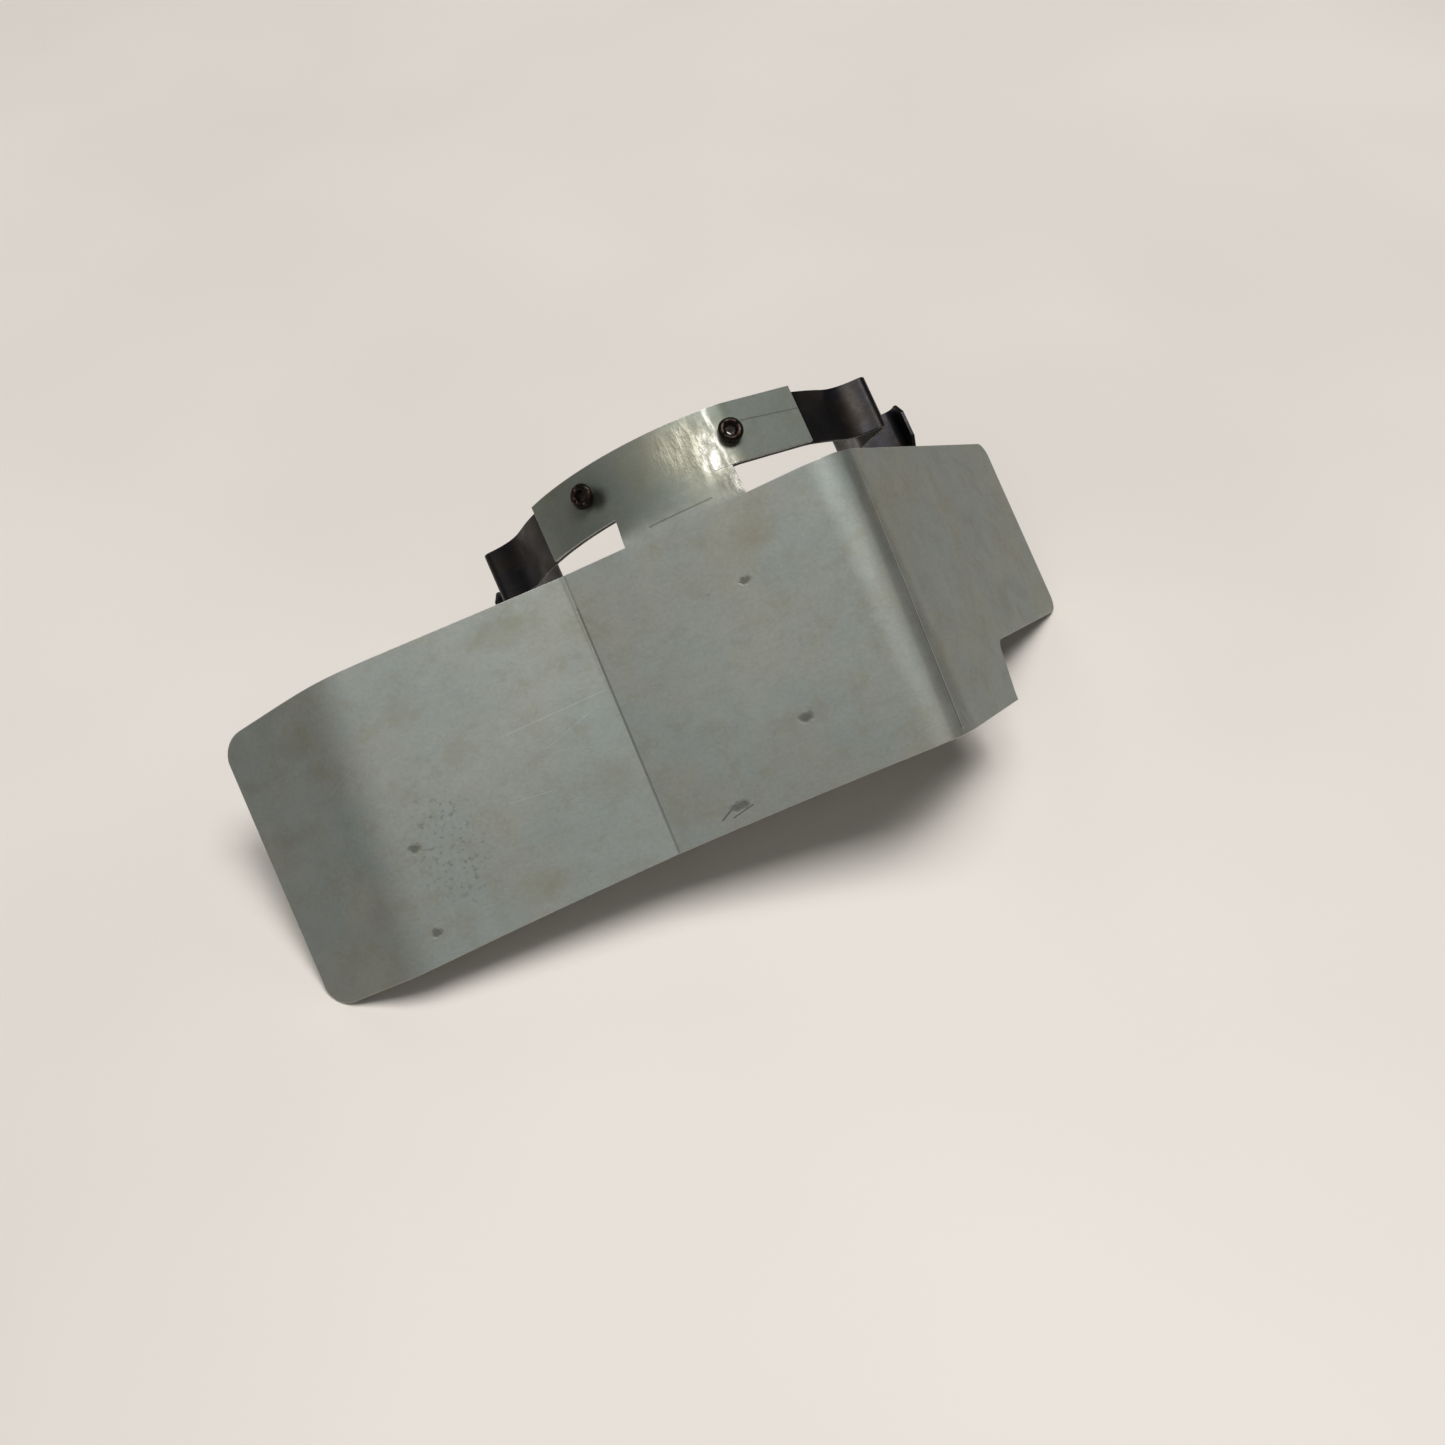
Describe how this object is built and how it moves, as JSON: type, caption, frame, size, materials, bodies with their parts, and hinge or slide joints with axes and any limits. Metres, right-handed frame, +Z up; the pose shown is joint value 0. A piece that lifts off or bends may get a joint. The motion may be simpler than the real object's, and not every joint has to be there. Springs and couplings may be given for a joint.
{
  "type": "clip-on sheet-metal guard",
  "caption": "Bent zinc-plated guard plate with a riveted spring-steel clip that snaps onto a round tube and holds the plate beside it as a deflector.",
  "frame": {"origin": "middle of the bounding box's underside, on the surface the part lies on", "axes": "+X along the plate towards its tab, +Y towards the clip, +Z up, with the part lying on its three feet"},
  "size_m": [0.1104, 0.0584, 0.0436],
  "materials": {
    "zinc_sheet": "dull zinc-plated, handled",
    "spring_steel": "blued, satin",
    "rivet_metal": "darkened with age"
  },
  "bodies": {
    "guard": {"guard_plate": "zinc_sheet", "spring_bridge": "spring_steel", "rivet_left": "rivet_metal", "rivet_right": "rivet_metal"},
    "left_arm": {"spring_arm_left": "spring_steel"},
    "right_arm": {"spring_arm_right": "spring_steel"}
  },
  "joints": [
    {"name": "left_arm_flex", "type": "hinge", "parent": "guard", "child": "left_arm", "pos_m": [-0.01227, 0.0106, 0.02931], "axis": [-0.1125, 0.8556, 0.5053], "range_deg": [-3, 10], "stiffness_Nm_per_rad": 1},
    {"name": "right_arm_flex", "type": "hinge", "parent": "guard", "child": "right_arm", "pos_m": [0.01937, 0.00911, 0.03889], "axis": [0.1125, -0.8556, -0.5053], "range_deg": [-3, 10], "stiffness_Nm_per_rad": 1}
  ]
}
